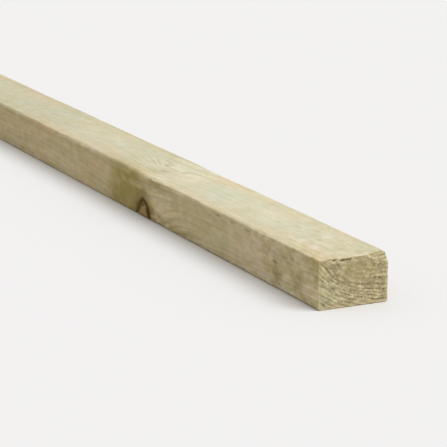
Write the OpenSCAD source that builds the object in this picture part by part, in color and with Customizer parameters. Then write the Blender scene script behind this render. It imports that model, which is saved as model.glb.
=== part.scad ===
// A length of pressure-treated sawn softwood, lying flat on its wide face.
// Rectangular section with eased long arrises, square cross-cut ends, and one
// top corner of the near end broken away. Millimetres, +X along the length,
// +Z up, origin under the middle of the plank.

/* [Stock] */
// Length, from one saw cut to the other
plank_l = 1800; // [600:100:4800]
// Width of the two wide faces
plank_w = 38; // [32:1:150]
// Thickness between the two wide faces
plank_t = 25; // [19:1:50]

/* [Arrises] */
// Radius of the two long arrises of the upper face
top_arris_r = 1.5; // [0.5:0.25:4]
// Radius of the two long arrises of the lower face
bottom_arris_r = 1; // [0.5:0.25:4]

/* [Broken corner] */
// Reach of the break across the end face
break_w = 15; // [4:1:16]
// Reach of the break down the end face
break_h = 5; // [2:1:8]
// Reach of the break back along the length
break_l = 4; // [2:1:14]

/* [Hidden] */
$fn = 48;
near_x = plank_l / 2;
// The break is one plane through a point on each of the three edges that met there.
break_normal = [1 / break_l, 1 / break_w, 1 / break_h];
break_tilt = acos(break_normal.z / norm(break_normal));
break_turn = atan2(break_normal.y, break_normal.x);
break_block = 4 * max(break_w, break_h, break_l);

// One rounded corner of the section: a disc tangent to both faces.
module arris(side, height, r) {
    translate([side * (plank_w / 2 - r), height])
        circle(r = r);
}

// The section as it leaves the saw, wide face down, +Y across and +Z up.
module section() {
    lower = bottom_arris_r;
    upper = top_arris_r;
    union() {
        translate([-plank_w / 2, lower])
            square([plank_w, plank_t - lower - upper]);
        translate([-plank_w / 2 + lower, 0])
            square([plank_w - 2 * lower, plank_t / 2]);
        translate([-plank_w / 2 + upper, plank_t / 2])
            square([plank_w - 2 * upper, plank_t / 2]);
        for (side = [-1, 1]) {
            arris(side, lower, lower);
            arris(side, plank_t - upper, upper);
        }
    }
}

// Everything beyond the plane of the break, as one tilted block.
module broken_corner() {
    translate([near_x, plank_w / 2 - break_w, plank_t])
        rotate([0, break_tilt, break_turn])
            translate([-break_block / 2, -break_block / 2, 0])
                cube(break_block);
}

module plank() {
    color([0.80, 0.75, 0.58])
        difference() {
            translate([-plank_l / 2, 0, 0])
                rotate([90, 0, 90])
                    linear_extrude(plank_l)
                        section();
            broken_corner();
        }
}

plank();
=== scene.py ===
"""A plank of treated sawn softwood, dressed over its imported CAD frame.

The wood is worked out as a solid: growth rings round a pith that lies outside the
section, with branches that leave that pith and show as knots where a face cuts them.
Each point of the mesh carries its place in that solid, and the finishes read it there.
"""

import itertools
import math
from functools import cached_property

import bmesh
import bpy
import numpy as np
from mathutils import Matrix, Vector


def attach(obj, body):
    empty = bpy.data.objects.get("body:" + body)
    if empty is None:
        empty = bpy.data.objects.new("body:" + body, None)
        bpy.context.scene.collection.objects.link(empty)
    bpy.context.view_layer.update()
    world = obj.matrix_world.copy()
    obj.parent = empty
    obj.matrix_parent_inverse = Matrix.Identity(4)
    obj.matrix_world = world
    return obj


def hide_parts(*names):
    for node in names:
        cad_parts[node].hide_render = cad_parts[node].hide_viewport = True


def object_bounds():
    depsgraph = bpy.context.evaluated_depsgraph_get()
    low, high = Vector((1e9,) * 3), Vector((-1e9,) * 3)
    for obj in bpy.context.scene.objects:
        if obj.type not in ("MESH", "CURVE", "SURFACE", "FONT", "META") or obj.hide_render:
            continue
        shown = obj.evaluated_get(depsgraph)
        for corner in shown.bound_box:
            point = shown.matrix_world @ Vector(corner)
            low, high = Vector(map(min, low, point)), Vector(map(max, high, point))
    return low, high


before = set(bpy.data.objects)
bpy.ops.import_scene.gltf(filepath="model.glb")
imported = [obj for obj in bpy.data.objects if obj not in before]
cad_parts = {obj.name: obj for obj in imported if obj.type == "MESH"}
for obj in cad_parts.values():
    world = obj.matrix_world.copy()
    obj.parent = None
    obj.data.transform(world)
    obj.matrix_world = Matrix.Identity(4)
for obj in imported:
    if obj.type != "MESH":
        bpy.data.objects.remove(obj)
cad_low, cad_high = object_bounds()

# Section and break, in millimetres, as the part's source has them.
MM = 0.001
LENGTH = (cad_high.x - cad_low.x) / MM
WIDTH = (cad_high.y - cad_low.y) / MM
THICK = (cad_high.z - cad_low.z) / MM
HALF_LONG, HALF_WIDE = LENGTH / 2, WIDTH / 2
TOP_ARRIS = 1.5
LOW_ARRIS = 1.0
BREAK_ACROSS, BREAK_DOWN, BREAK_BACK = 15.0, 5.0, 4.0

# The tree: where its pith ran beside the section, and how it grew, in millimetres.
PITH_Y, PITH_Z = 18.5, 56.0
PITH_SWAY = ((260.0, 5.0), (97.0, 2.0))  # waves of the pith: their reach along it, and its sway
SWAY_LAG_Y, SWAY_LAG_Z = 0.4, 2.9  # how far those waves are on, in radians
RING_STEP = 2.1
RING_BEATS = ((0.23, 0.5), (0.61, 0.2))  # good and poor years: how often, and by how many rings
LATE_COMES, LATE_GOES = (0.4, 0.85), (0.92, 1.0)  # parts of a year over which late wood does
AROUND_STEM = 60.0  # distance from the pith at which lengths round it are measured
STEM_TAPER = 0.006
RIPPLES = (  # unevenness of the rings: height, cell, seed
    (2.6, (90.0, 13.0, 13.0), 51),
    (1.1, (34.0, 5.3, 5.3), 53),
    (0.4, (11.0, 2.1, 2.1), 57),
)

# Branches: place of the root along the plank, compass angle round the pith in degrees,
# lean along the stem, widening per millimetre of reach, reach at which it had died back.
BRANCHES = (
    dict(root=695.2, angle=-122.3, lean=0.02, spread=0.109, dead=50.3),
    dict(root=262.0, angle=-100.0, lean=0.10, spread=0.100, dead=60.0),
    dict(root=236.0, angle=-139.0, lean=0.12, spread=0.085, dead=56.0),
    dict(root=-171.0, angle=-114.0, lean=0.08, spread=0.105, dead=62.0),
    dict(root=-628.0, angle=-131.0, lean=0.09, spread=0.110, dead=64.0),
    dict(root=-655.0, angle=-104.0, lean=0.10, spread=0.080, dead=62.0),
)
LEAST_KNOT = 0.2  # radius of a branch at its root
OVAL_KNOT = 1.3  # length of a knot along the grain for its width across it
KNOT_UNEVEN = (1.5, (6.0, 4.0, 4.0), 61)
DYING_BACK = 14.0  # reach over which a branch died back
ROUND_KNOT = 1.3  # how far, in knot radii, the rings bend and the bend reaches
BEND_FROM = 0.7  # where, in knot radii, the bend starts to fall away
BEND_GROWS = (2.0, 12.0)  # reach over which a young branch came to bend the rings
ALONG_GRAIN = 0.22  # the bend reaches further along the grain than across it
SWEEP, SWEEP_ALONG = 1.6, (60.0, -4.0)  # step of the rings past a branch, and where it lies
FAR_FROM_KNOTS = 90.0

# Resin in the wood below a branch: where along the grain it comes and goes, and its reach across.
SOAK_COMES, SOAK_GOES = (-54.0, -30.0), (7.0, -11.0)
SOAK_ACROSS = 60.0
SOAK_AGE = 11.0  # reach before its death at which a branch began to shed resin
SOAK_DRIFT = (20.0, (30.0, 8.0, 8.0), 67)

# Resin at the front of the near end: middle, reach and strength.
CORNER_MIDDLE = (HALF_LONG - 4.0, -HALF_WIDE, THICK - 3.0)
CORNER_REACH = (7.0, 3.0, 3.0)
CORNER_SOAK = 0.6


# Repeatable noise

AXIS_STEPS, SEED_STEP, STIR = (73856093, 19349663, 83492791), 2654435761, np.uint64(0x45D9F3B)
LOW_BITS, HALF_WORD = np.uint64(0xFFFFFFFF), np.uint64(16)
LATTICE_MIDDLE = 4096.0  # keeps the number of every cell above 0


def lattice(cell, seed):
    """Repeatable value from 0 to 1 for each whole-number place."""
    mixed = np.uint64(seed * SEED_STEP)
    for axis, step in enumerate(AXIS_STEPS):
        mixed = mixed ^ (cell[..., axis].astype(np.uint64) * np.uint64(step))
    mixed = mixed & LOW_BITS
    for _ in range(2):
        mixed = ((mixed ^ (mixed >> HALF_WORD)) * STIR) & LOW_BITS
    mixed = mixed ^ (mixed >> HALF_WORD)
    return mixed.astype(float) / float(LOW_BITS)


def eased(part):
    """A share from 0 to 1, with a slow start and a slow stop."""
    return part * part * (3.0 - 2.0 * part)


def soft_noise(place, cell, seed):
    """Smooth noise from 0 to 1 at places in mm, in cells of the given size along x, y, z."""
    grid = place / np.asarray(cell, float) + LATTICE_MIDDLE
    base = np.floor(grid).astype(np.int64)
    part = eased(grid - base)
    total = np.zeros(place.shape[:-1])
    for corner in itertools.product((0, 1), repeat=3):
        step = np.array(corner)
        weight = np.prod(np.where(step == 1, part, 1.0 - part), axis=-1)
        total += weight * lattice(base + step, seed)
    return total


def rough(points, height, cell, seed):
    """Unevenness from 0 to a height in mm."""
    return height * soft_noise(points, cell, seed)


def swell(points, height, cell, seed):
    """Unevenness to both sides of 0, over a height in mm."""
    return height * (soft_noise(points, cell, seed) - 0.5)


def dents(points, level, height, cell, seed):
    """Unevenness that shows only where its noise passes a level."""
    return height * np.clip(soft_noise(points, cell, seed) - level, 0.0, 1.0)


def smooth(value, low, high):
    """Eases from 0 at low to 1 at high."""
    return eased(np.clip((value - low) / (high - low), 0.0, 1.0))


def fall(value, width):
    """1 where a value is 0, falling away on both sides."""
    return np.exp(-(value / width) ** 2)


# The wood as a solid

def pith_sway(x, lag):
    """How far the pith at x strays from where it lies at the near end, in mm."""
    return sum(sway * (np.sin(x / along + lag) - np.sin(HALF_LONG / along + lag))
               for along, sway in PITH_SWAY)


def resin_below(points, aside):
    """Share of resin in the wood below a branch, from how far places lie aside of it."""
    along = aside[:, 0] + swell(points, *SOAK_DRIFT)
    soak = smooth(along, *SOAK_COMES) * smooth(along, *SOAK_GOES)
    return soak * fall(np.linalg.norm(aside[:, 1:], axis=1), SOAK_ACROSS)


def branch_at(points, branch):
    """What one branch does at places in mm: bend of the rings, side of its knot, age and resin."""
    angle = math.radians(branch["angle"])
    way = np.array((branch["lean"], math.cos(angle), math.sin(angle)))
    way /= np.linalg.norm(way)
    offset = points - np.array((branch["root"], PITH_Y, PITH_Z))
    reach = offset @ way
    aside = offset - reach[:, None] * way
    core = np.linalg.norm(aside / (OVAL_KNOT, 1.0, 1.0), axis=1) + swell(points, *KNOT_UNEVEN)
    radius = np.maximum(branch["spread"] * reach, LEAST_KNOT)
    past = np.maximum(np.linalg.norm(aside * (ALONG_GRAIN, 1.0, 1.0), axis=1) - BEND_FROM * radius, 0.0)
    bend = ROUND_KNOT * radius * np.exp(-past / (ROUND_KNOT * radius))
    after_death = reach - branch["dead"]
    return dict(
        bend=bend * smooth(reach, *BEND_GROWS) + SWEEP * smooth(aside[:, 0], *SWEEP_ALONG),
        edge=core - radius,
        core=core,
        age=smooth(after_death, -DYING_BACK, 0.0),
        soak=resin_below(points, aside) * smooth(after_death, -SOAK_AGE, 0.0),
    )


def growth_at(points):
    """What the wood is like at places in mm: its year, and how the branches show there."""
    x, y, z = points.T
    dy = y - PITH_Y - pith_sway(x, SWAY_LAG_Y)
    dz = z - PITH_Z - pith_sway(x, SWAY_LAG_Z)
    reach = np.hypot(dy, dz) + STEM_TAPER * (x - HALF_LONG)
    reach += sum(swell(points, *ripple) for ripple in RIPPLES)
    edge = np.full(len(points), FAR_FROM_KNOTS)
    core, age = np.zeros(len(points)), np.zeros(len(points))
    soak = CORNER_SOAK * fall(np.linalg.norm((points - CORNER_MIDDLE) / CORNER_REACH, axis=1), 1.0)
    for branch in BRANCHES:
        part = branch_at(points, branch)
        reach -= part["bend"]
        soak = np.maximum(soak, part["soak"])
        nearer = part["edge"] < edge
        edge = np.where(nearer, part["edge"], edge)
        core = np.where(nearer, part["core"], core)
        age = np.where(nearer, part["age"], age)
    year = reach / RING_STEP + sum(years * np.sin(reach * pace) for pace, years in RING_BEATS)
    around = -AROUND_STEM * (math.pi + np.arctan2(dy, -dz))
    return dict(year=year, around=around, knot_edge=edge, knot_core=core, knot_age=age, soak=soak)


def late_wood(year):
    """Share of hard late wood, from 0 in spring to 1 before the next spring."""
    season = year - np.floor(year)
    return smooth(season, *LATE_COMES) * (1.0 - smooth(season, *LATE_GOES))


# The plank's mesh

FACE_STEPS = {"wide": 24, "narrow": 16, "arris": 3}
LEAST_SLANT = 0.05  # share of both axes in the normals of an arris, at least
END_FINENESS = 3  # section points at the ends for each one along the length
END_BLOCK = 13.0  # length at each end that has the finer mesh
END_STEP, END_GROWTH = 0.36, 1.05
LONG_STEP = 3.4
LAST_STEP = 0.6 * LONG_STEP  # the last step along the length, at least
KNOT_STEP = 1.25
KNOT_REACH = 15.0
OUT_OF_WOOD = 55.0  # reach at which most branches come out of the plank
CAP_LOOPS = 29
MERGE_WITHIN, DISSOLVE_WITHIN = 0.02 * MM, 0.002 * MM
SHARP_FROM = math.radians(38.0)
SAWN_FACE, SAWN_END, TORN_WOOD = range(3)

# Relief of the long faces, in millimetres: height, cell and seed.
FACE_INSET = 0.08
FACE_WAVE = (0.22, (190.0, 26.0, 26.0), 3)
FACE_FUZZ = (0.08, (14.0, 1.7, 1.7), 5)
ARRIS_WEAR, WEAR_LEVEL = (0.8, (31.0, 9.0, 9.0), 11), 0.5
ARRIS_NICKS, NICK_LEVEL = (3.0, (5.0, 5.0, 5.0), 17), 0.8
KNOT_LIFT, RING_LIFT = 0.16, 0.05
KNOT_RISES = (0.5, -2.0)  # distance out from a knot's side over which it rises
RIM_SUNK, RIM_WIDE = 0.30, 0.9
END_LIP, LIP_LONG = (1.0, (30.0, 2.4, 2.4), 71), 0.9
LEAST_LIP, TOP_LIP, TOP_LIP_FROM = 0.15, 0.6, (THICK - 2.5, THICK - 1.0)

# Relief of the sawn ends, in millimetres: height, cell and seed.
END_INSET = 0.12
END_RING_LIFT = 0.08
END_FUZZ, EARLY_FUZZ, LATE_FUZZ = (1.0, (9.0, 1.1, 1.1), 23), 0.22, 0.10
SAW_STEPS, SAW_SLANT = (0.14, (9.0, 14.0, 0.9), 29), (1.0, 0.25, 1.0)
EDGE_TEAR, TEAR_LEVEL, TEAR_DEEP = (1.5, (9.0, 3.1, 1.7), 31), 0.45, 0.8
LEAST_TEAR, TEAR_BELOW_TOP = 0.35, 6.0
LIP_DASHES, DASH_LEVELS = (1.0, (9.0, 2.1, 2.0), 37), (0.3, 0.62)
LIP_TEAR, LIP_BELOW_TOP, LIP_WIDE = 1.05, 1.2, 0.5
RAGGED_FROM, RAGGED_TO = (-15.0, -10.0), (4.0, -1.0)  # stretch of y over which the lip is most torn
LEAST_RAGGED = 0.2

# Relief of the broken corner, in millimetres.
TORN_INSET, TORN_REACH, LEAST_MOVE = 0.2, 1.6, 0.02
TORN_LAYER = 0.35
TORN_FIBRES = (0.6, (7.0, 0.8, 0.8), 41)
TORN_LUMPS = (1.0, (9.0, 4.2, 4.2), 43)


def on_circle(y, z, radius, degrees):
    """A point on a circle in the section, and its outward normal."""
    angle = math.radians(degrees)
    normal = (math.cos(angle), math.sin(angle))
    return (y + radius * normal[0], z + radius * normal[1]), normal


def section_outline(fineness):
    """Points round the section from the right side upwards, their normals, and a mark on arrises."""
    top_y, top_z = HALF_WIDE - TOP_ARRIS, THICK - TOP_ARRIS
    corners = (
        (top_y, top_z, TOP_ARRIS, 0.0, "wide"),
        (-top_y, top_z, TOP_ARRIS, 90.0, "narrow"),
        (-HALF_WIDE + LOW_ARRIS, LOW_ARRIS, LOW_ARRIS, 180.0, "wide"),
        (HALF_WIDE - LOW_ARRIS, LOW_ARRIS, LOW_ARRIS, 270.0, "narrow"),
    )
    made = []
    turns = FACE_STEPS["arris"] * fineness
    for corner, following in zip(corners, corners[1:] + corners[:1]):
        *circle, start, flat = corner
        made += [on_circle(*circle, start + 90.0 * k / turns) for k in range(turns + 1)]
        begin = np.array(made[-1][0])
        end, normal = on_circle(*following[:4])
        count = FACE_STEPS[flat] * fineness
        made += [(begin + (np.array(end) - begin) * k / count, normal) for k in range(1, count)]
    points = np.array([point for point, _ in made], float)
    normals = np.array([normal for _, normal in made], float)
    on_arris = (np.abs(normals).min(axis=1) > LEAST_SLANT).astype(float)
    return points, normals, on_arris


def end_offsets():
    """Distances from a sawn end of the rings in its fine block, widening inwards."""
    places, here, step = [], END_STEP, END_STEP
    while here < END_BLOCK - 0.5 * step:
        places.append(here)
        step *= END_GROWTH
        here += step
    return np.array(places)


def long_stations():
    """Places along the length between the two end blocks, closer together at the knots."""
    stop = HALF_LONG - END_BLOCK
    knots = [branch["root"] + branch["lean"] * OUT_OF_WOOD for branch in BRANCHES]
    places = [-stop]
    while places[-1] < stop:
        near = min(abs(places[-1] - knot) for knot in knots)
        places.append(places[-1] + (KNOT_STEP if near < KNOT_REACH else LONG_STEP))
    while stop - places[-1] < LAST_STEP:
        places.pop()
    return np.array(places + [stop])


def ring_at(x, outline):
    """One section outline placed at x, as points in mm."""
    return np.column_stack([np.full(len(outline), x), outline])


def cap_loops(x, outline):
    """Loops that close an end from its edge in to the middle line of the section."""
    reach = (WIDTH - THICK) / 2
    middle = np.column_stack([np.clip(outline[:, 0], -reach, reach), np.full(len(outline), THICK / 2)])
    return [ring_at(x, outline + (middle - outline) * k / CAP_LOOPS) for k in range(1, CAP_LOOPS + 1)]


def face_relief(points, on_arris):
    """How far the long faces stand off the true section, in mm: waves, fuzz, knots and worn arrises."""
    growth = growth_at(points)
    edge = growth["knot_edge"]
    lift = KNOT_LIFT * smooth(edge, *KNOT_RISES) + RING_LIFT * late_wood(growth["year"])
    sunk = RIM_SUNK * fall(edge, RIM_WIDE) * growth["knot_age"]
    uneven = rough(points, *FACE_WAVE) + rough(points, *FACE_FUZZ)
    lip = rough(points, *END_LIP) * fall(HALF_LONG - np.abs(points[:, 0]), LIP_LONG)
    lip *= LEAST_LIP + TOP_LIP * smooth(points[:, 2], *TOP_LIP_FROM)
    worn = dents(points, WEAR_LEVEL, *ARRIS_WEAR) + dents(points, NICK_LEVEL, *ARRIS_NICKS)
    return lift - FACE_INSET - uneven - sunk - lip - on_arris * worn


def end_relief(points, from_edge):
    """How far a sawn end stands off the true length, in mm: rings, fuzz, saw steps and torn edges."""
    late = late_wood(growth_at(points)["year"])
    fuzz = rough(points, *END_FUZZ) * (EARLY_FUZZ + (LATE_FUZZ - EARLY_FUZZ) * late)
    steps = rough(np.column_stack([points[:, :2], points @ np.array(SAW_SLANT)]), *SAW_STEPS)
    below_top = THICK - points[:, 2]
    edge_tear = dents(points, TEAR_LEVEL, *EDGE_TEAR) * fall(from_edge, TEAR_DEEP)
    edge_tear *= np.clip(1.0 - below_top / TEAR_BELOW_TOP, LEAST_TEAR, 1.0)
    ragged = smooth(points[:, 1], *RAGGED_FROM) * smooth(points[:, 1], *RAGGED_TO)
    lip_tear = LIP_TEAR * smooth(rough(points, *LIP_DASHES), *DASH_LEVELS)
    lip_tear *= LEAST_RAGGED + (1.0 - LEAST_RAGGED) * ragged
    lip_tear *= fall(below_top - LIP_BELOW_TOP, LIP_WIDE)
    return END_RING_LIFT * late - END_INSET - fuzz - steps - edge_tear - lip_tear


def break_corner(points):
    """Moves what lay beyond the break back onto its torn face, and says which points moved."""
    normal = np.array((1 / BREAK_BACK, 1 / BREAK_ACROSS, 1 / BREAK_DOWN))
    normal /= np.linalg.norm(normal)
    corner = np.array((HALF_LONG, HALF_WIDE - BREAK_ACROSS, THICK))
    beyond = (points - corner) @ normal
    flat = points - beyond[:, None] * normal
    layers = growth_at(flat)["year"]
    torn = TORN_LAYER * (layers - np.floor(layers) - 0.5)
    torn += swell(flat, *TORN_FIBRES) + swell(flat, *TORN_LUMPS)
    past = np.where(beyond > -TORN_REACH, np.maximum(beyond - torn + TORN_INSET, 0.0), 0.0)
    return points - past[:, None] * normal, past > LEAST_MOVE


class PlankMesh:
    """Collects the plank's points and faces, ring by ring from the far end."""

    def __init__(self):
        self.points, self.faces, self.ends = [], [], []
        self.count = 0

    def ring(self, points):
        """Adds a ring of points and returns their numbers."""
        numbers = np.arange(self.count, self.count + len(points))
        self.points.append(points)
        self.count += len(points)
        return numbers

    def add(self, faces, end=False):
        """Adds faces, and whether they lie on a sawn end."""
        self.faces += faces
        self.ends += [end] * len(faces)

    def band(self, first, second, end=False):
        """Joins two rings of equal count by quads that face outwards."""
        quads = np.column_stack([first, np.roll(first, -1), np.roll(second, -1), second])
        self.add(quads.tolist(), end)

    def bands(self, rings):
        """Joins each ring of the long faces to the one after it."""
        for first, second in zip(rings, rings[1:]):
            self.band(first, second)

    def stitch(self, fine, coarse, fine_first):
        """Joins a fine ring to a coarse one that has a third of its points."""
        faces = []
        for n, here in enumerate(coarse):
            beyond = coarse[(n + 1) % len(coarse)]
            a, b, c, d = (fine[(END_FINENESS * n + k) % len(fine)] for k in range(END_FINENESS + 1))
            strip = [(a, b, here), (b, c, beyond, here), (c, d, beyond)]
            faces += [face if fine_first else face[::-1] for face in strip]
        self.add([[int(number) for number in face] for face in faces])


def shaped_rings(places, outline):
    """Rings of the long faces at several places, with their relief."""
    points, normals, on_arris = outline
    rings = np.vstack([ring_at(x, points) for x in places])
    relief = face_relief(rings, np.tile(on_arris, len(places)))
    rings[:, 1:] += np.tile(normals, (len(places), 1)) * relief[:, None]
    return np.split(rings, len(places))


def shaped_cap(x, outline):
    """The loops of one sawn end, its edge first, with their relief."""
    points, normals, on_arris = outline
    outward = math.copysign(1.0, x)
    edge = ring_at(x, points)
    relief = face_relief(edge, on_arris)
    loops = [edge] + cap_loops(x, points)
    for n, loop in enumerate(loops):
        from_edge = np.linalg.norm(loop - ring_at(x, points), axis=1)
        share = 1.0 - n / CAP_LOOPS
        loop[:, 0] += outward * end_relief(loop, from_edge)
        loop[:, 1:] += normals * (relief * share)[:, None]
    return loops


def plank_mesh():
    """The whole plank as points in mm, faces, and a mark on each face of a sawn end."""
    coarse, fine = section_outline(1), section_outline(END_FINENESS)
    made = PlankMesh()
    far_cap = [made.ring(loop) for loop in shaped_cap(-HALF_LONG, fine)]
    far_rings = [made.ring(ring) for ring in shaped_rings(end_offsets() - HALF_LONG, fine)]
    long_rings = [made.ring(ring) for ring in shaped_rings(long_stations(), coarse)]
    near_rings = [made.ring(ring) for ring in shaped_rings(HALF_LONG - end_offsets()[::-1], fine)]
    near_cap = [made.ring(loop) for loop in shaped_cap(HALF_LONG, fine)]
    for outer, inner in zip(far_cap, far_cap[1:]):
        made.band(inner, outer, end=True)
    made.bands(far_cap[:1] + far_rings)
    made.stitch(far_rings[-1], long_rings[0], fine_first=True)
    made.bands(long_rings)
    made.stitch(near_rings[0], long_rings[-1], fine_first=False)
    made.bands(near_rings + near_cap[:1])
    for outer, inner in zip(near_cap, near_cap[1:]):
        made.band(outer, inner, end=True)
    return np.vstack(made.points), made.faces, np.array(made.ends)


def close_middle(mesh):
    """Merges the points that meet on the middle line of each end."""
    work = bmesh.new()
    work.from_mesh(mesh)
    bmesh.ops.remove_doubles(work, verts=work.verts, dist=MERGE_WITHIN)
    bmesh.ops.dissolve_degenerate(work, edges=work.edges, dist=DISSOLVE_WITHIN)
    work.to_mesh(mesh)
    work.free()


def store_growth(mesh):
    """Gives every point of the mesh its place in the growth of the stem."""
    places = np.empty(len(mesh.vertices) * 3)
    mesh.vertices.foreach_get("co", places)
    for name, values in growth_at(places.reshape(-1, 3) / MM).items():
        layer = mesh.attributes.new(name, "FLOAT", "POINT")
        layer.data.foreach_set("value", values.astype(np.float32))


def make_plank():
    """The plank as one closed Blender mesh, each face marked with its finish."""
    points, faces, ends = plank_mesh()
    points, torn = break_corner(points)
    finish = np.where(ends, SAWN_END, SAWN_FACE)
    for n, face in enumerate(faces):
        if torn[face].all():
            finish[n] = TORN_WOOD
    mesh = bpy.data.meshes.new("plank_wood")
    mesh.from_pydata((points * MM).tolist(), [], faces)
    mesh.polygons.foreach_set("material_index", finish.astype(np.int32))
    mesh.polygons.foreach_set("use_smooth", np.ones(len(faces), bool))
    mesh.update()
    close_middle(mesh)
    store_growth(mesh)
    mesh.set_sharp_from_angle(angle=SHARP_FROM)
    plank = bpy.data.objects.new("plank_wood", mesh)
    bpy.context.collection.objects.link(plank)
    return plank


# Node wiring

MIX_INPUTS, MIX_RESULT = (0, 6, 7), 2  # a colour mix's sockets: share, two colours and result


class Wiring:
    """Short words for adding and joining the nodes of one tree."""

    def __init__(self, tree):
        self.tree = tree

    def add(self, kind, **settings):
        """A new node with its settings."""
        node = self.tree.nodes.new(kind)
        for name, value in settings.items():
            setattr(node, name, value)
        return node

    def put(self, socket, value):
        """Joins a socket to the input, or sets a plain value there."""
        if isinstance(value, bpy.types.NodeSocket):
            self.tree.links.new(value, socket)
        elif value is not None:
            socket.default_value = value

    def maths(self, operation, first, second=None, clamp=False):
        """The result of an operation on one or two values."""
        node = self.add("ShaderNodeMath", operation=operation, use_clamp=clamp)
        self.put(node.inputs[0], first)
        self.put(node.inputs[1], second)
        return node.outputs[0]

    def plus(self, first, second):
        return self.maths("ADD", first, second)

    def minus(self, first, second):
        return self.maths("SUBTRACT", first, second)

    def times(self, first, second):
        return self.maths("MULTIPLY", first, second)

    def size(self, value):
        """A value without its sign."""
        return self.maths("ABSOLUTE", value)

    def vector(self, operation, first, second=None):
        """The result of an operation on one or two vectors."""
        node = self.add("ShaderNodeVectorMath", operation=operation)
        self.put(node.inputs[0], first)
        self.put(node.inputs[1], second)
        return node.outputs["Value" if operation == "LENGTH" else "Vector"]

    def apart(self, vector):
        """The three parts of a vector."""
        node = self.add("ShaderNodeSeparateXYZ")
        self.put(node.inputs[0], vector)
        return node.outputs

    def joined(self, x, y, z):
        """A vector of three parts."""
        node = self.add("ShaderNodeCombineXYZ")
        for socket, value in zip(node.inputs, (x, y, z)):
            self.put(socket, value)
        return node.outputs[0]

    def carried(self, name):
        """A value that the points of the mesh carry."""
        return self.add("ShaderNodeAttribute", attribute_name=name).outputs["Fac"]

    def noise(self, place, cell, detail=2.0, roughness=0.5):
        """Noise from 0 to 1 in cells of the given size along the three axes of the place."""
        node = self.add("ShaderNodeTexNoise", noise_dimensions="3D")
        self.put(node.inputs["Vector"], self.vector("MULTIPLY", place, tuple(1 / c for c in cell)))
        self.put(node.inputs["Scale"], 1.0)
        self.put(node.inputs["Detail"], detail)
        self.put(node.inputs["Roughness"], roughness)
        return node.outputs[0]

    def noise_line(self, along, cell, detail):
        """Noise from 0 to 1 along one line."""
        node = self.add("ShaderNodeTexNoise", noise_dimensions="1D")
        self.put(node.inputs["W"], along)
        self.put(node.inputs["Scale"], 1 / cell)
        self.put(node.inputs["Detail"], detail)
        return node.outputs[0]

    def ease(self, value, low, high, start=0.0, stop=1.0):
        """Eases from start, where the value is low, to stop, where it is high."""
        node = self.add("ShaderNodeMapRange", interpolation_type="SMOOTHSTEP")
        for name, given in zip(("Value", "From Min", "From Max", "To Min", "To Max"),
                               (value, low, high, start, stop)):
            self.put(node.inputs[name], given)
        return node.outputs[0]

    def bell(self, value, width):
        """1 where the value is 0, falling away on both sides."""
        part = self.maths("DIVIDE", value, width)
        return self.maths("EXPONENT", self.times(self.times(part, part), -1.0))

    def blend(self, share, first, second, way="MIX"):
        """A colour with a share of a second one laid over it."""
        node = self.add("ShaderNodeMix", data_type="RGBA", blend_type=way)
        for number, value in zip(MIX_INPUTS, (share, first, second)):
            self.put(node.inputs[number], value)
        return node.outputs[MIX_RESULT]

    def group(self, tree, place):
        """A shared effect, at the place that it reads."""
        node = self.add("ShaderNodeGroup", node_tree=tree)
        self.put(node.inputs["Place"], place)
        return node.outputs


def new_group(name, outputs):
    """An empty group that reads a place: its tree, wiring, place and output sockets."""
    tree = bpy.data.node_groups.new(name, "ShaderNodeTree")
    tree.interface.new_socket(name="Place", in_out="INPUT", socket_type="NodeSocketVector")
    for word in outputs:
        kind = "NodeSocketVector" if word == "Along" else "NodeSocketFloat"
        tree.interface.new_socket(name=word, in_out="OUTPUT", socket_type=kind)
    wiring = Wiring(tree)
    return tree, wiring, wiring.add("NodeGroupInput").outputs["Place"], wiring.add("NodeGroupOutput").inputs


# Effects that the finishes share

# Cells of their noise, in millimetres: along the grain and across it.
FIBRE_CELL, STREAK_CELL = (15.0, 0.5, 0.5), (70.0, 3.4, 3.4)
YEAR_CELL = 0.137  # in years: less than one, so that each has a strength of its own
RIM_CELL, FRESH_CELL, RESIN_CELL = (5.0, 2.6, 2.6), (13.0, 7.0, 7.0), (11.0, 6.0, 6.0)
KNOT_LINE_CELL = 1.3
GREEN_CELL, PINK_CELL, MOTTLE_CELL = (46.0, 19.0, 19.0), (38.0, 16.0, 16.0), (11.0, 6.5, 6.5)
PINK_PLACE = (731.0, 55.0, 12.0)  # shifts the pink patches away from the green ones
SAW_CELL, SAW_PATCH_CELL, SAW_LEAN = 11.0, (60.0, 24.0, 24.0), 0.12
FINE_DETAIL = (3.0, 0.6)  # finer noises within a noise, and the strength of each beside the last

# Levels of noise between which an effect comes in, and its strengths at the two.
MOST_OF_NOISE, YEAR_STRENGTHS = (0.25, 0.75), (0.4, 1.0)
RIM_LEVELS, RIM_WIDTHS = (0.3, 0.7), (0.8, 2.3)
FRESH_LEVELS, FRESH_STRENGTHS = (0.36, 0.62), (1.0, 0.85)
RESIN_LEVELS, RESIN_STRENGTHS = (0.3, 0.65), (0.65, 1.1)
SAW_LEVELS, SAW_STRENGTHS = (0.35, 0.65), (0.3, 1.0)
GREEN_LEVELS, PINK_LEVELS = (0.44, 0.64), (0.46, 0.68)

# Distances out from the side of a knot, in millimetres, over which it, its rim and its stain come in.
KNOT_SIDE = (0.3, -0.3)
RIM_INSIDE, RIM_OUTSIDE = (-1.5, -0.45), (1.8, -0.2)
STAIN_ENDS, STAIN_RAGGED = (10.0, 3.5), 5.0
NEAR_KNOT = 24.0
KNOT_STRENGTHS = (0.12, 1.0)  # of a living knot and of a dead one


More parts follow.
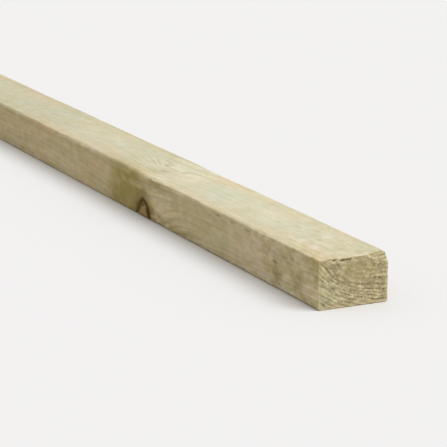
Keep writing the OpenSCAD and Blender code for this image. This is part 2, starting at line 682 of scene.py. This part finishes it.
def grain_group():
    """Late wood of each year, and fibres and streaks that run with the grain."""
    tree, wire, place, out = new_group("grain of the stem", ("Along", "Late", "Fine", "Broad"))
    year = wire.carried("year")
    along = wire.joined(wire.apart(place)[0], wire.times(year, RING_STEP), wire.carried("around"))
    season = wire.maths("FRACT", year)
    late = wire.times(wire.ease(season, *LATE_COMES), wire.ease(season, *LATE_GOES[::-1]))
    strength = wire.noise_line(wire.maths("FLOOR", year), YEAR_CELL, detail=0.0)
    wire.put(out["Along"], along)
    wire.put(out["Late"], wire.times(late, wire.ease(strength, *MOST_OF_NOISE, *YEAR_STRENGTHS)))
    wire.put(out["Fine"], wire.noise(along, FIBRE_CELL, *FINE_DETAIL))
    wire.put(out["Broad"], wire.noise(along, STREAK_CELL, *FINE_DETAIL))
    return tree


def knot_group():
    """Knots, their dead rims, the lines in them and the resin beside them."""
    tree, wire, place, out = new_group("knots", ("Knot", "Rim", "Lines", "Stain", "Soak", "Near"))
    edge, age = wire.carried("knot_edge"), wire.carried("knot_age")
    shown = wire.ease(age, 0.0, 1.0, *KNOT_STRENGTHS)
    wire.put(out["Knot"], wire.times(wire.ease(edge, *KNOT_SIDE), shown))
    patchy = wire.noise(place, RIM_CELL, *FINE_DETAIL)
    inner = wire.maths("DIVIDE", edge, wire.ease(patchy, *RIM_LEVELS, *RIM_WIDTHS))
    rim = wire.times(wire.ease(inner, *RIM_INSIDE), wire.ease(edge, *RIM_OUTSIDE))
    fresh = wire.ease(wire.noise(place, FRESH_CELL, detail=1.0), *FRESH_LEVELS, *FRESH_STRENGTHS)
    wire.put(out["Rim"], wire.times(rim, wire.times(age, fresh)))
    wire.put(out["Lines"], wire.noise_line(wire.carried("knot_core"), KNOT_LINE_CELL, detail=2.0))
    ragged = wire.plus(edge, wire.times(patchy, STAIN_RAGGED))
    wire.put(out["Stain"], wire.times(wire.ease(ragged, *STAIN_ENDS), age))
    wire.put(out["Near"], wire.bell(wire.maths("MAXIMUM", edge, 0.0), NEAR_KNOT))
    cloud = wire.ease(wire.noise(place, RESIN_CELL, *FINE_DETAIL), *RESIN_LEVELS, *RESIN_STRENGTHS)
    wire.put(out["Soak"], wire.times(wire.carried("soak"), cloud))
    return tree


def preservative_group():
    """Patches where the green preservative soaked in, patches that stayed pink, and mottling."""
    tree, wire, place, out = new_group("preservative patches", ("Green", "Pink", "Mottle"))
    wire.put(out["Green"], wire.ease(wire.noise(place, GREEN_CELL, detail=3.0), *GREEN_LEVELS))
    elsewhere = wire.vector("ADD", place, PINK_PLACE)
    wire.put(out["Pink"], wire.ease(wire.noise(elsewhere, PINK_CELL), *PINK_LEVELS))
    wire.put(out["Mottle"], wire.noise(place, MOTTLE_CELL, detail=3.0, roughness=0.55))
    return tree


def saw_group():
    """Marks of the saw across the grain, stronger in some places than in others."""
    tree, wire, place, out = new_group("saw marks", ("Mark",))
    x, y, z = wire.apart(place)
    slanted = wire.plus(x, wire.times(wire.plus(y, z), SAW_LEAN))
    mark = wire.minus(wire.noise_line(slanted, SAW_CELL, detail=3.0), 0.5)
    where = wire.ease(wire.noise(place, SAW_PATCH_CELL, detail=1.0), *SAW_LEVELS, *SAW_STRENGTHS)
    wire.put(out["Mark"], wire.plus(wire.times(mark, where), 0.5))
    return tree


# Finishes

def colour(red, green, blue):
    """A colour given as it looks on screen, from 0 to 255."""
    linear = [c / 255 / 12.92 if c <= 10 else ((c / 255 + 0.055) / 1.055) ** 2.4
              for c in (red, green, blue)]
    return (*linear, 1.0)


EARLY_WOOD = colour(217, 210, 181)
LATE_WOOD = colour(196, 181, 142)
GREEN_WOOD = colour(203, 209, 185)
PINK_WOOD = colour(227, 208, 178)
CLEAR_WOOD = colour(224, 217, 197)
WARM_WOOD = colour(212, 192, 146)
# Painted highlight: a warm pale colour laid along the two upper arrises.
ARRIS_HIGHLIGHT = colour(234, 215, 179)
SOAKED_WOOD = colour(171, 160, 105)
KNOT_WOOD = colour(176, 157, 107)
KNOT_DARK = colour(147, 127, 78)
KNOT_STAIN = colour(146, 127, 68)
BARK = colour(66, 51, 2)
DIRT = colour(104, 92, 62)
END_EARLY = colour(204, 194, 161)
END_LATE = colour(128, 113, 77)
END_GREEN = colour(199, 202, 171)
END_SMOOTH = colour(180, 169, 125)
END_EDGE = colour(220, 207, 172)
# Painted shade for the deep torn grooves of the ends.
END_TEAR_SHADE = colour(118, 105, 66)
TORN_EARLY = colour(213, 202, 163)
TORN_LATE = colour(182, 166, 121)

# Strengths of red, green and blue: where nothing changes, and in duller and clearer patches and flecks.
EVEN = (1.0, 1.0, 1.0, 1.0)
DULL_PATCH, CLEAR_PATCH = (0.93, 0.925, 0.85, 1.0), (1.05, 1.055, 1.12, 1.0)
DULL_FLECK, CLEAR_FLECK = (0.82, 0.81, 0.68, 1.0), (1.15, 1.16, 1.27, 1.0)

# The same far from the ends, on the wide faces and on the narrow ones.
FAR_WIDE, FAR_NARROW = (0.87, 0.87, 0.855, 1.0), (0.975, 0.945, 0.92, 1.0)

# The same on the wide faces: along the middle and the sides, near knots and near ends.
COOL_MIDDLE, WARM_SIDE = (1.0, 1.015, 1.04, 1.0), (1.0, 0.98, 0.95, 1.0)
BY_KNOT, BY_END = (1.05, 1.07, 1.12, 1.0), (0.965, 0.945, 0.89, 1.0)

# Darkest and lightest strength of each change of tone.
FIGURE_TONE, STREAK_TONE, FIBRE_TONE = (0.96, 1.03), (0.85, 1.15), (0.98, 1.018)
# The first pair below is painted light: the wide faces darker at the front side and lighter at the back, as
# bounce light fell.
BOUNCE_LIGHT_TONE, SAW_TONE = (0.982, 1.018), (1.035, 0.962)
SPECK_TONE, TUFT_TONE, CLUMP_TONE = (0.8, 1.19), (0.72, 1.26), (0.83, 1.17)
TORN_FIBRE_TONE, TORN_STREAK_TONE = (0.82, 1.08), (0.88, 1.06)

# How much of each tint is laid on at most.
GREEN_SHARE, PINK_SHARE, ARRIS_HIGHLIGHT_SHARE, DIRT_SHARE = 0.42, 0.42, 0.5, 0.5
STAIN_SHARE, HEART_SHARE, RIM_SHARE = 0.7, 0.9, 0.95
END_GREEN_SHARE, END_PATCH_SHARE, EDGE_SHARE, TEAR_SHADE_SHARE = 0.25, 0.6, 0.6, 0.85

# Cells of each finish's own noise, in millimetres, and levels and strengths as above.
FADING_CELL, FLECK_CELL, SPOT_CELL = (46.0, 8.0, 8.0), (7.0, 3.6, 3.6), (4.0, 1.5, 1.5)
SPECK_CELL, BROKEN_CELL = (9.0, 1.0, 1.0), (9.0, 1.2, 2.1)
TUFT_CELL, CLUMP_CELL = (9.0, 2.3, 4.0), (9.0, 4.0, 6.0)
FADING_LEVELS, FADING_STRENGTHS = (0.35, 0.65), (0.08, 0.36)
BROKEN_LEVELS, BROKEN_STRENGTHS = (0.38, 0.6), (0.05, 0.95)
LINE_LEVELS, FIBRE_LEVELS = (0.38, 0.62), (0.2, 0.8)

# Strengths on wide and narrow faces, away from knots and at them, off the ends' smooth patch and on it.
GREEN_BY_FACE, MOTTLE_BY_FACE, MARKS_BY_FACE = (1.0, 0.55), (0.75, 1.0), (0.4, 1.0)
FIGURE_BY_KNOT, STREAKS_BY_KNOT, STREAKS_FULL = (1.0, 2.5), (0.4, 2.5), 0.8
LATE_BY_PATCH, SPECK_BY_PATCH, TUFT_CALMED = (1.0, 0.3), (1.0, 0.4), 0.7

# Places over which faces, arrises and the border of an end begin, in millimetres.
NARROW_FROM = (HALF_WIDE - 1.2, HALF_WIDE - 0.6)
ARRIS_FROM_Y, ARRIS_FROM_Z = (HALF_WIDE - 2.2, HALF_WIDE - 0.4), (THICK - 1.6, THICK - 0.3)
TO_SIDES, ACROSS = (3.0, 18.0), (-18.0, 18.0)
BORDER_FROM = (2.4, 0.6)

# Changes away from the ends: two distances from the nearer one, in millimetres, and the strength at each.
WARM_FADES = (45.0, 0.0, 0.0, 1.0)
FAR_STARTS, FAR_GOES_ON = (188.0, 228.0, 0.25, 0.5), (310.0, 400.0, 0.0, 0.25)
HANDLED, MOST_HANDLED = (95.0, 40.0, 0.35, 1.2), (20.0, 5.0, 0.0, 0.3)
# Depths into an end over which the painted shade of its tears comes in, and its strength at each.
TEAR_SHADE_DEPTHS = (0.75, 1.35, 0.0, 1.0)

# Spots on the front edge: distance from the near end, height, and reach along and up, in millimetres.
SMUDGES = (
    (27.0, 18.7, 3.0, 1.2), (45.0, 13.4, 3.6, 0.9), (40.0, 8.2, 4.4, 1.1), (75.0, 21.9, 5.0, 0.7),
    (92.0, 22.4, 4.0, 0.8), (108.0, 22.2, 6.0, 0.7), (3.5, 10.5, 1.6, 0.9), (187.6, 1.2, 1.3, 2.8),
    (211.0, 4.0, 4.5, 7.0),
)
DULL_SPOTS = (
    # The second spot, low along the front edge before the knot, is partly darker brown wood and partly
    # painted shade along the bottom of the front face.
    (187.0, 21.5, 15.0, 3.4), (160.0, 2.4, 27.0, 4.4), (43.0, 8.0, 7.5, 7.0), (22.0, 8.0, 8.0, 6.0),
    (215.0, 7.0, 11.0, 8.0),
)
WARM_SPOTS = ((128.0, 10.0, 26.0, 12.0),)
CLEAR_SPOTS = ((76.0, 12.0, 26.0, 16.0), (177.0, 12.0, 15.0, 8.0))
FRONT_SPOTS = (  # with how much of a tint they have at most
    (CLEAR_SPOTS, 0.7, CLEAR_WOOD), (WARM_SPOTS, 0.18, WARM_WOOD), (DULL_SPOTS, 0.45, KNOT_STAIN),
)
SPOT_ENDS, SPOT_RAGGED = (1.9, 0.7), 1.4  # in reaches of a spot

# Where the saw left each end smooth, and where most preservative went in: middle and reach, y and z.
SMOOTH_PATCH = ((1.5, 17.5), (9.0, 4.6))
GREEN_PATCH = ((-15.0, 6.0), (10.0, 9.0))

DULL_GLOSS = 0.12
FINE_RELIEF, TORN_RELIEF = 0.2 * MM, 0.4 * MM
LATE_HEIGHT, TUFT_HEIGHT = 0.5, 1.6  # beside the other relief of their finish
FACE_ROUGHNESS, END_ROUGHNESS = (0.72, 0.92), (0.8, 0.97)


class WoodFinish:
    """One wood material: its place and shared effects, and ways to colour it."""

    def __init__(self, name, groups):
        self.material = bpy.data.materials.new(name)
        self.material.use_nodes = True
        self.wire = Wiring(self.material.node_tree)
        self.groups = groups
        self.shader = self.material.node_tree.nodes["Principled BSDF"]
        coordinates = self.wire.add("ShaderNodeTexCoord").outputs["Object"]
        self.place = self.wire.vector("MULTIPLY", coordinates, (1 / MM, 1 / MM, 1 / MM))
        self.x, self.y, self.z = self.wire.apart(self.place)

    @cached_property
    def grain(self):
        """The grain of the stem."""
        return self.wire.group(self.groups["grain"], self.place)

    @cached_property
    def knot(self):
        """The knots, with their rims and resin."""
        return self.wire.group(self.groups["knot"], self.place)

    @cached_property
    def patch(self):
        """The patches of the preservative."""
        return self.wire.group(self.groups["preservative"], self.place)

    @cached_property
    def from_end(self):
        """Distance from the nearer end, in mm."""
        return self.wire.minus(HALF_LONG, self.wire.size(self.x))

    def toned(self, base, value, tone):
        """The base made darker and lighter by a value, between two strengths."""
        shade = self.wire.ease(value, *MOST_OF_NOISE, *tone)
        return self.wire.blend(1.0, base, self.wire.joined(shade, shade, shade), "MULTIPLY")

    def weaker(self, value, share):
        """A value round one half, brought nearer to it by a share, or driven off by one above 1."""
        return self.wire.plus(self.wire.times(self.wire.minus(value, 0.5), share), 0.5)

    def swayed(self, base, value, low, high):
        """The base multiplied by a colour between two, by a value round one half."""
        shade = self.wire.blend(self.wire.ease(value, *MOST_OF_NOISE), low, high)
        return self.wire.blend(1.0, base, shade, "MULTIPLY")

    def changed(self, base, mask, strengths):
        """The base multiplied by strengths of red, green and blue where the mask is."""
        return self.swayed(base, self.wire.ease(mask, 0.0, 1.0, *MOST_OF_NOISE), EVEN, strengths)

    def tinted(self, base, mask, share, tint):
        """The base with a tint laid over it where the mask is, up to a share of it."""
        return self.wire.blend(self.wire.maths("MULTIPLY", mask, share, clamp=True), base, tint)

    def knotted(self, base):
        """The base with resin, knots and their dark rims laid over it."""
        base = self.tinted(base, self.knot["Soak"], 1.0, SOAKED_WOOD)
        base = self.tinted(base, self.knot["Stain"], STAIN_SHARE, KNOT_STAIN)
        heart = self.wire.blend(self.wire.ease(self.knot["Lines"], *LINE_LEVELS), KNOT_WOOD, KNOT_DARK)
        base = self.tinted(base, self.knot["Knot"], HEART_SHARE, heart)
        return self.tinted(base, self.knot["Rim"], RIM_SHARE, BARK)

    def finish(self, base, height, depth, roughness):
        """Joins colour, relief and roughness to the shader."""
        wire, inputs = self.wire, self.shader.inputs
        wire.put(inputs["Base Color"], base)
        wire.put(inputs["Roughness"], wire.ease(self.grain["Fine"], *FIBRE_LEVELS, *roughness))
        inputs["Specular IOR Level"].default_value = DULL_GLOSS
        bump = wire.add("ShaderNodeBump")
        bump.inputs["Distance"].default_value = depth
        wire.put(bump.inputs["Height"], height)
        wire.put(inputs["Normal"], bump.outputs[0])
        return self.material


def spots(wood, places):
    """Mask of spots on the front edge, with ragged outlines."""
    wire, mask = wood.wire, 0.0
    stray = wire.times(wire.noise(wood.place, SPOT_CELL), SPOT_RAGGED)
    for from_end, height, along, up in places:
        offset = wire.vector("SUBTRACT", wood.place, (HALF_LONG - from_end, -HALF_WIDE, height))
        away = wire.vector("LENGTH", wire.vector("MULTIPLY", offset, (1 / along, 1.0, 1 / up)))
        mask = wire.maths("MAXIMUM", wire.ease(wire.plus(away, stray), *SPOT_ENDS), mask)
    return mask


def patch_mask(wood, patch):
    """Mask of a patch on the ends, from its middle and reach in y and z."""
    wire = wood.wire
    (y, z), (wide, high) = patch
    offset = wire.vector("SUBTRACT", wood.place, (0.0, y, z))
    return wire.bell(wire.vector("LENGTH", wire.vector("MULTIPLY", offset, (0.0, 1 / wide, 1 / high))), 1.0)


def arris_highlight_mask(wood):
    """Mask of the two upper arrises, where a painted highlight is laid."""
    wire = wood.wire
    return wire.times(wire.ease(wire.size(wood.y), *ARRIS_FROM_Y), wire.ease(wood.z, *ARRIS_FROM_Z))


def grown_face(wood, on_narrow):
    """Colour of the long faces as the wood grew and was treated: rings, patches, streaks and fibres, and a
    painted highlight along the upper arrises.
    """
    wire, near = wood.wire, wood.knot["Near"]
    fading = wire.ease(wire.noise(wood.place, FADING_CELL), *FADING_LEVELS, *FADING_STRENGTHS)
    late = wire.times(wood.grain["Late"], wire.plus(fading, near))
    base = wood.tinted(EARLY_WOOD, late, 1.0, LATE_WOOD)
    green = wire.times(wood.patch["Green"], wire.ease(on_narrow, 0.0, 1.0, *GREEN_BY_FACE))
    base = wood.tinted(base, green, GREEN_SHARE, GREEN_WOOD)
    base = wood.tinted(base, wood.patch["Pink"], PINK_SHARE, PINK_WOOD)
    # Painted highlight along the two upper arrises.
    base = wood.tinted(base, arris_highlight_mask(wood), ARRIS_HIGHLIGHT_SHARE, ARRIS_HIGHLIGHT)
    figure = wire.ease(near, 0.0, 1.0, *FIGURE_BY_KNOT)
    base = wood.toned(base, wood.weaker(wood.grain["Broad"], figure), FIGURE_TONE)
    streaks = wire.times(wire.ease(near, 0.0, STREAKS_FULL, *STREAKS_BY_KNOT), on_narrow)
    base = wood.toned(base, wood.weaker(wood.grain["Broad"], streaks), STREAK_TONE)
    return wood.toned(base, wood.grain["Fine"], FIBRE_TONE)


def face_tones(wood, base, on_narrow):
    """The base with the broad changes of tone over the long faces, among them painted light across the wide
    faces, darker at the front side and lighter at the back.
    """
    wire = wood.wire
    on_wide = wire.minus(1.0, on_narrow)
    mottle = wood.weaker(wood.patch["Mottle"], wire.ease(on_narrow, 0.0, 1.0, *MOTTLE_BY_FACE))
    base = wood.swayed(base, mottle, DULL_PATCH, CLEAR_PATCH)
    to_side = wire.ease(wire.size(wood.y), *TO_SIDES)
    base = wood.swayed(base, wood.weaker(to_side, on_wide), COOL_MIDDLE, WARM_SIDE)
    # Painted light: the wide faces a little darker towards the front side and lighter towards the back.
    base = wood.toned(base, wood.weaker(wire.ease(wood.y, *ACROSS), on_wide), BOUNCE_LIGHT_TONE)
    base = wood.changed(base, wire.times(wood.knot["Near"], on_wide), BY_KNOT)
    far = wire.plus(wire.ease(wood.from_end, *FAR_STARTS), wire.ease(wood.from_end, *FAR_GOES_ON))
    base = wood.swayed(base, far, EVEN, wire.blend(on_narrow, FAR_WIDE, FAR_NARROW))
    return wood.changed(base, wire.times(wire.ease(wood.from_end, *WARM_FADES), on_wide), BY_END)


def face_marks(wood, base, marked):
    """The base with the spots on the front edge, and flecks where the ends are handled."""
    wire = wood.wire
    for places, share, tint in FRONT_SPOTS:
        base = wood.tinted(base, spots(wood, places), share, tint)
    handled = wire.plus(wire.ease(wood.from_end, *HANDLED), wire.ease(wood.from_end, *MOST_HANDLED))
    fleck = wire.noise(wood.place, FLECK_CELL, *FINE_DETAIL)
    fleck = wood.weaker(fleck, wire.times(marked, handled))
    return wood.swayed(base, fleck, DULL_FLECK, CLEAR_FLECK)


def sawn_face(groups):
    """The long faces: pale, faintly ringed, blotched green and pink by the treatment."""
    wood = WoodFinish("sawn_face", groups)
    wire = wood.wire
    on_narrow = wire.ease(wire.size(wood.y), *NARROW_FROM)
    marked = wire.ease(on_narrow, 0.0, 1.0, *MARKS_BY_FACE)
    saw = wood.weaker(wire.group(groups["saw"], wood.place)["Mark"], marked)
    base = face_tones(wood, grown_face(wood, on_narrow), on_narrow)
    base = wood.toned(base, saw, SAW_TONE)
    base = wood.knotted(face_marks(wood, base, marked))
    base = wood.tinted(base, spots(wood, SMUDGES), DIRT_SHARE, DIRT)
    height = wire.plus(wood.grain["Fine"], wire.times(wood.grain["Late"], LATE_HEIGHT))
    height = wire.plus(height, wire.plus(saw, wood.patch["Mottle"]))
    return wood.finish(base, height, FINE_RELIEF, FACE_ROUGHNESS)


def end_growth(wood, calm):
    """Colour of the sawn ends as the wood grew and was treated: broken rings and green patches."""
    wire = wood.wire
    broken = wire.noise(wood.grain["Along"], BROKEN_CELL, detail=1.0)
    late = wire.times(wood.grain["Late"], wire.ease(broken, *BROKEN_LEVELS, *BROKEN_STRENGTHS))
    late = wire.times(late, wire.ease(calm, 0.0, 1.0, *LATE_BY_PATCH))
    base = wire.blend(late, END_EARLY, END_LATE)
    base = wood.tinted(base, wood.patch["Green"], END_GREEN_SHARE, END_GREEN)
    base = wood.tinted(base, patch_mask(wood, GREEN_PATCH), END_PATCH_SHARE, END_GREEN)
    return wood.tinted(base, calm, END_PATCH_SHARE, END_SMOOTH)


def sawn_end(groups):
    """The sawn ends: end grain, darker in the late wood, fuzzy and torn by the saw, with painted shade deep
    in the tears.
    """
    wood = WoodFinish("sawn_end", groups)
    wire = wood.wire
    calm = patch_mask(wood, SMOOTH_PATCH)
    from_side = wire.minus(HALF_WIDE, wire.size(wood.y))
    edge = wire.maths("MINIMUM", from_side, wire.maths("MINIMUM", wood.z, wire.minus(THICK, wood.z)))
    border = wire.ease(edge, *BORDER_FROM)
    wild = wire.minus(1.0, wire.times(wire.maths("MAXIMUM", calm, border), TUFT_CALMED))
    speck = wire.noise(wood.place, SPECK_CELL, roughness=0.6)
    tuft = wood.weaker(wire.noise(wood.grain["Along"], TUFT_CELL, detail=1.5), wild)
    clump = wood.weaker(wire.noise(wood.grain["Along"], CLUMP_CELL, detail=1.0), wild)
    base = end_growth(wood, calm)
    base = wood.toned(base, wood.weaker(speck, wire.ease(calm, 0.0, 1.0, *SPECK_BY_PATCH)), SPECK_TONE)
    base = wood.toned(base, tuft, TUFT_TONE)
    base = wood.toned(base, clump, CLUMP_TONE)
    base = wood.tinted(base, border, EDGE_SHARE, END_EDGE)
    # Painted shade where the end lies deepest in its tears.
    base = wood.tinted(base, wire.ease(wood.from_end, *TEAR_SHADE_DEPTHS), TEAR_SHADE_SHARE, END_TEAR_SHADE)
    height = wire.plus(speck, wire.times(tuft, TUFT_HEIGHT))
    return wood.finish(wood.knotted(base), height, FINE_RELIEF, END_ROUGHNESS)


def torn_wood(groups):
    """The broken corner: torn fibres in layers."""
    wood = WoodFinish("torn_wood", groups)
    grain = wood.grain
    base = wood.wire.blend(grain["Late"], TORN_EARLY, TORN_LATE)
    base = wood.toned(base, grain["Fine"], TORN_FIBRE_TONE)
    base = wood.toned(base, grain["Broad"], TORN_STREAK_TONE)
    return wood.finish(base, wood.wire.plus(grain["Fine"], grain["Late"]), TORN_RELIEF, END_ROUGHNESS)


# Floor, light and camera

FLOOR_SEEN = colour(234, 234, 235)
FLOOR_BOUNCE = colour(178, 165, 135)
FLOOR_REACH = 40.0  # metres from the middle to each side
SUN_STRENGTH, SUN_ANGLE = 1.7, math.radians(38.0)
SUN_FROM = (0.42, 0.34, 0.84)
SKY_LOW, SKY_HIGH = (0.49, 0.414, 0.31, 1.0), (0.66, 0.66, 0.66, 1.0)
SKY_EVEN_FROM = 0.7

CAMERA_BEYOND_END = 815.6  # millimetres past the near end, along the plank
CAMERA_ASIDE = -467.3
CAMERA_HEIGHT = 279.6
AIM_FROM_END = -128.0  # what the camera looks at, along the plank from its near end
AIM_ASIDE = -6.0
AIM_HEIGHT = 12.0
CAMERA_LENS = 166.0
CAMERA_SENSOR = 36.0
CAMERA_NEAR, CAMERA_FAR = 0.05, 200.0  # metres


def seen_rays(wire):
    """1 for rays that show the background: the camera's, and those off gloss or through glass."""
    rays = wire.add("ShaderNodeLightPath").outputs
    mirrored = wire.maths("MAXIMUM", rays["Is Glossy Ray"], rays["Is Transmission Ray"])
    return wire.maths("MAXIMUM", rays["Is Camera Ray"], mirrored)


def make_floor():
    """A plain pale floor, duller and warmer where it only throws light back."""
    mesh = bpy.data.meshes.new("floor")
    sides = ((-1, -1), (1, -1), (1, 1), (-1, 1))
    mesh.from_pydata([(FLOOR_REACH * x, FLOOR_REACH * y, 0.0) for x, y in sides], [], [(0, 1, 2, 3)])
    floor = bpy.data.objects.new("floor", mesh)
    bpy.context.collection.objects.link(floor)
    material = bpy.data.materials.new("floor")
    material.use_nodes = True
    wire = Wiring(material.node_tree)
    shader = material.node_tree.nodes["Principled BSDF"]
    wire.put(shader.inputs["Base Color"], wire.blend(seen_rays(wire), FLOOR_BOUNCE, FLOOR_SEEN))
    shader.inputs["Roughness"].default_value = 1.0
    shader.inputs["Specular IOR Level"].default_value = 0.0
    mesh.materials.append(material)


def make_sun():
    """A soft sun from high on the right, past the near end."""
    sun = bpy.data.lights.new("key", "SUN")
    sun.energy = SUN_STRENGTH
    sun.angle = SUN_ANGLE
    key = bpy.data.objects.new("key", sun)
    key.rotation_mode = "QUATERNION"
    key.rotation_quaternion = Vector(SUN_FROM).to_track_quat("Z", "Y")
    bpy.context.collection.objects.link(key)


def make_sky():
    """An even sky that warms downwards, and looks as pale as the floor where it is seen."""
    world = bpy.data.worlds.new("studio")
    bpy.context.scene.world = world
    world.use_nodes = True
    wire = Wiring(world.node_tree)
    back = world.node_tree.nodes["Background"]
    height = wire.apart(wire.add("ShaderNodeTexCoord").outputs["Generated"])[2]
    sky = wire.blend(wire.ease(height, 0.0, SKY_EVEN_FROM), SKY_LOW, SKY_HIGH)
    wire.put(back.inputs["Color"], wire.blend(seen_rays(wire), sky, FLOOR_SEEN))


def make_camera():
    """The photograph's standpoint, with the near stretch of the plank filling the frame."""
    camera = bpy.data.cameras.new("camera")
    camera.sensor_width = CAMERA_SENSOR
    camera.lens = CAMERA_LENS
    camera.clip_start, camera.clip_end = CAMERA_NEAR, CAMERA_FAR
    stand = Vector((HALF_LONG + CAMERA_BEYOND_END, CAMERA_ASIDE, CAMERA_HEIGHT)) * MM
    aim = Vector((HALF_LONG + AIM_FROM_END, AIM_ASIDE, AIM_HEIGHT)) * MM
    holder = bpy.data.objects.new("camera", camera)
    holder.location = stand
    holder.rotation_mode = "QUATERNION"
    holder.rotation_quaternion = (aim - stand).to_track_quat("-Z", "Y")
    bpy.context.collection.objects.link(holder)
    bpy.context.scene.camera = holder


make_camera()
make_floor()
make_sun()
make_sky()
bpy.context.scene.view_settings.view_transform = "Standard"

groups = {"grain": grain_group(), "knot": knot_group(),
          "preservative": preservative_group(), "saw": saw_group()}
plank = make_plank()
for finish in (sawn_face, sawn_end, torn_wood):
    plank.data.materials.append(finish(groups))
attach(plank, "root")
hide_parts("plank")
